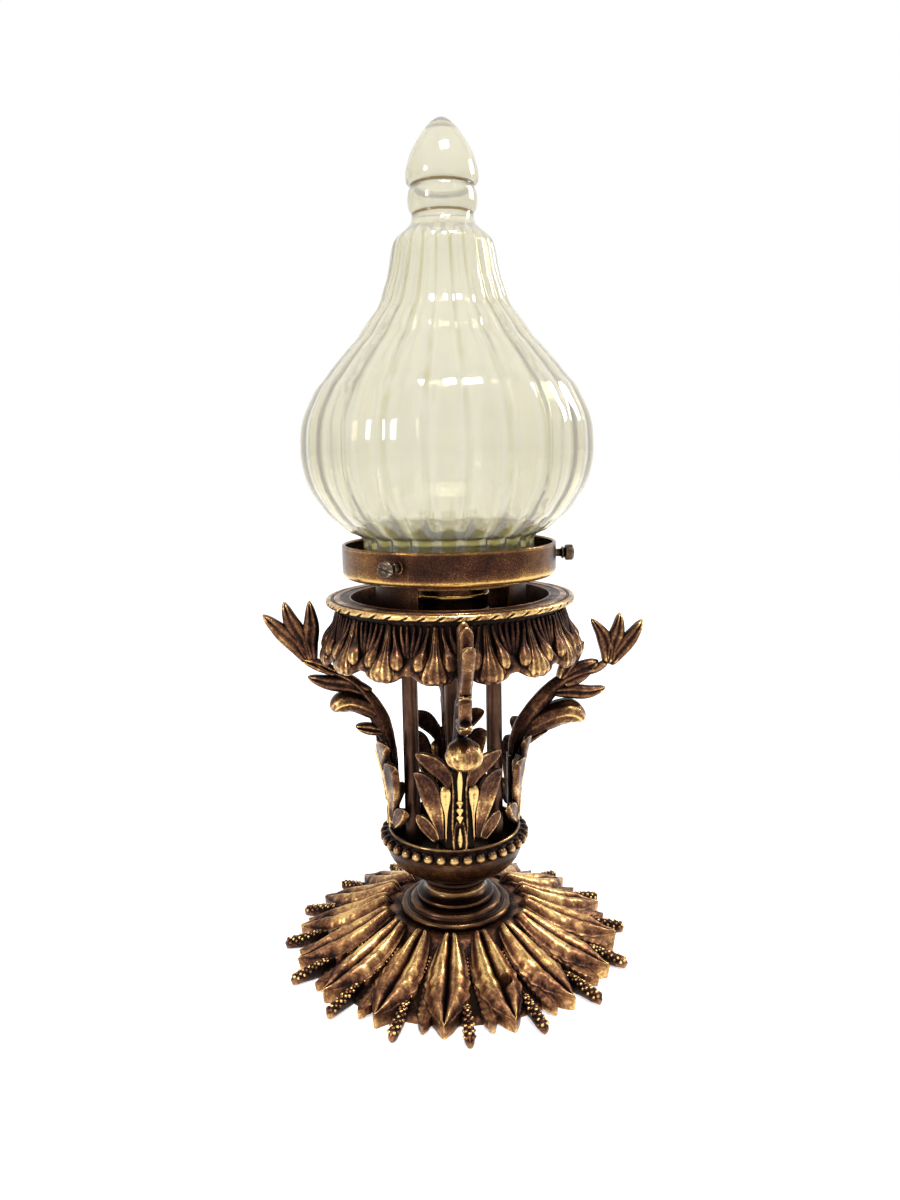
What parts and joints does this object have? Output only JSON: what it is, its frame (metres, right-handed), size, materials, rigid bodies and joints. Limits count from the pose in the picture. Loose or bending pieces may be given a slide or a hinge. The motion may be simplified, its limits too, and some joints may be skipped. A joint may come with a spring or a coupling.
{
  "type": "pendant lamp",
  "caption": "Short rigid ceiling lamp in gilt bronze: leafy ceiling plate, beaded bowl, leaf cage, screw gallery and a ribbed onion-shaped glass shade, stood on its plate.",
  "frame": {"origin": "centre of the ceiling face of the leafy plate, which is the bottom as the lamp stands in the picture", "axes": "+Z from the ceiling plate along the stem to the tip of the glass, so it points down when the lamp hangs; -Y is the side that faces the camera"},
  "size_m": [0.1948, 0.1886, 0.4154],
  "materials": {
    "gilt_bronze": "cast, aged gilding, dark recesses and worn gold high spots",
    "turned_bronze": "turned, aged brown with rubbed gold edges",
    "gallery_brass": "spun brass with brown patina and dark specks",
    "brown_brass": "brown patina, satin",
    "dark_steel": "browned steel, worn",
    "green_glass": "pale yellow-green ribbed glass",
    "porcelain": "glazed porcelain"
  },
  "bodies": {
    "root": {"ceiling_rose": "gilt_bronze", "rose_flange": "turned_bronze", "stem_neck": "turned_bronze", "bowl": "turned_bronze", "bead_collar": "gilt_bronze", "acanthus_leaf_right": "gilt_bronze", "acanthus_leaf_back": "gilt_bronze", "acanthus_leaf_left": "gilt_bronze", "acanthus_leaf_front": "gilt_bronze", "leaf_branch_right": "gilt_bronze", "leaf_branch_back": "gilt_bronze", "leaf_branch_left": "gilt_bronze", "leaf_branch_front": "gilt_bronze", "leaf_screws": "dark_steel", "wire_rod_back": "brown_brass", "support_rod_left": "brown_brass", "support_rod_right": "brown_brass", "rod_nuts": "dark_steel", "top_plate": "brown_brass", "frame_ring": "gilt_bronze", "leaf_skirt": "gilt_bronze", "plate_screws": "dark_steel", "drum_base": "gallery_brass", "drum_post_right": "gallery_brass", "drum_post_back": "gallery_brass", "drum_post_left": "gallery_brass", "drum_head": "gallery_brass", "gallery": "gallery_brass", "holder_tube": "gallery_brass", "holder_nut": "gallery_brass", "lampholder_cap": "gallery_brass", "lampholder_shell": "gallery_brass", "porcelain_insert": "porcelain", "bulb_screw_shell": "gallery_brass", "centre_contact": "gallery_brass", "stem_tube": "gallery_brass", "rose_washer": "gallery_brass", "rose_nut": "gallery_brass", "bowl_washer": "gallery_brass", "bowl_nut": "gallery_brass"},
    "shade": {"glass_shade": "green_glass"},
    "thumb_screw_right": {"thumb_screw_right": "dark_steel"},
    "thumb_screw_back": {"thumb_screw_back": "dark_steel"},
    "thumb_screw_left": {"thumb_screw_left": "dark_steel"}
  },
  "joints": [
    {"name": "shade_lift", "type": "slide", "parent": "root", "child": "shade", "axis": [0, 0, 1], "range_m": [0, 0.036]},
    {"name": "thumb_screw_right_travel", "type": "slide", "parent": "root", "child": "thumb_screw_right", "axis": [0.999, 0.0436, 0], "range_m": [0, 0.008]},
    {"name": "thumb_screw_back_travel", "type": "slide", "parent": "root", "child": "thumb_screw_back", "axis": [-0.5373, 0.8434, 0], "range_m": [0, 0.008]},
    {"name": "thumb_screw_left_travel", "type": "slide", "parent": "root", "child": "thumb_screw_left", "axis": [-0.4617, -0.887, 0], "range_m": [0, 0.008]}
  ]
}
